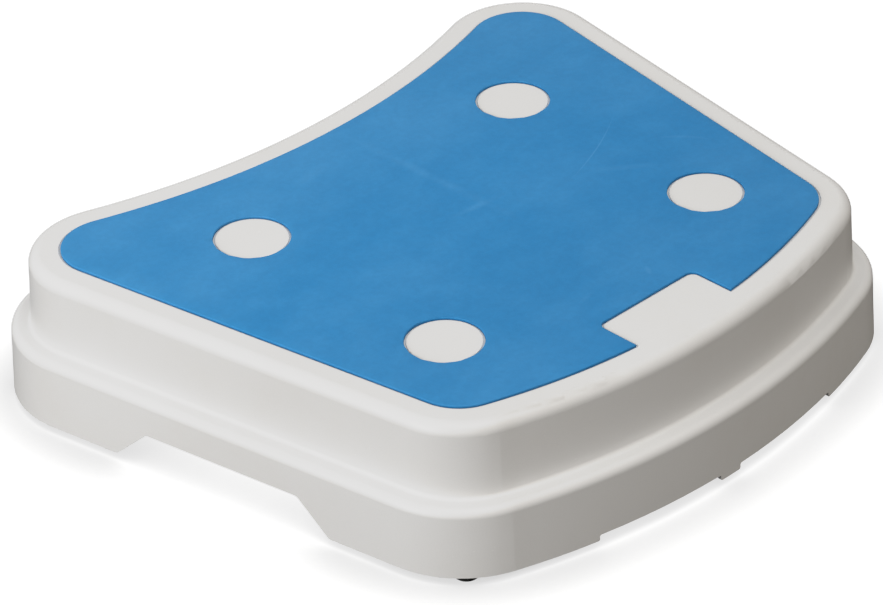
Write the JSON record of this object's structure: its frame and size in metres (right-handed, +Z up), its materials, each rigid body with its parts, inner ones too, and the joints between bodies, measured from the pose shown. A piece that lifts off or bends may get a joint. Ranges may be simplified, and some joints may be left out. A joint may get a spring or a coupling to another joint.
{
  "type": "bath and shower step",
  "caption": "Low moulded step for a bath or shower, with a bowed tread, a wider skirt with hand cut-outs, a non-slip mat and rubber feet.",
  "frame": {"origin": "on the floor, under the centre of the step's bounding box", "axes": "+Z up, +X to the user's right across the step, -Y towards the outward-bowed front edge with the blank panel, +Y towards the inward-bowed back edge; the step is symmetrical about x = 0"},
  "size_m": [0.4994, 0.4222, 0.1025],
  "materials": {
    "white_moulding": "injection-moulded polypropylene, off-white, satin with a very fine moulded grain",
    "blue_mat": "matt closed-cell non-slip rubber sheet, mid blue, fine grain with light scuffs",
    "adhesive_film": "thin double-sided adhesive film, pale amber",
    "black_rubber": "matt black moulded rubber",
    "stainless_steel": "plain stainless steel"
  },
  "bodies": {
    "root": {"step_body": "white_moulding", "non_slip_mat": "blue_mat", "mat_adhesive": "adhesive_film", "foot_front_left": "black_rubber", "foot_front_right": "black_rubber", "foot_back_left": "black_rubber", "foot_back_right": "black_rubber", "foot_washers": "stainless_steel", "foot_screws": "stainless_steel"}
  },
  "joints": []
}
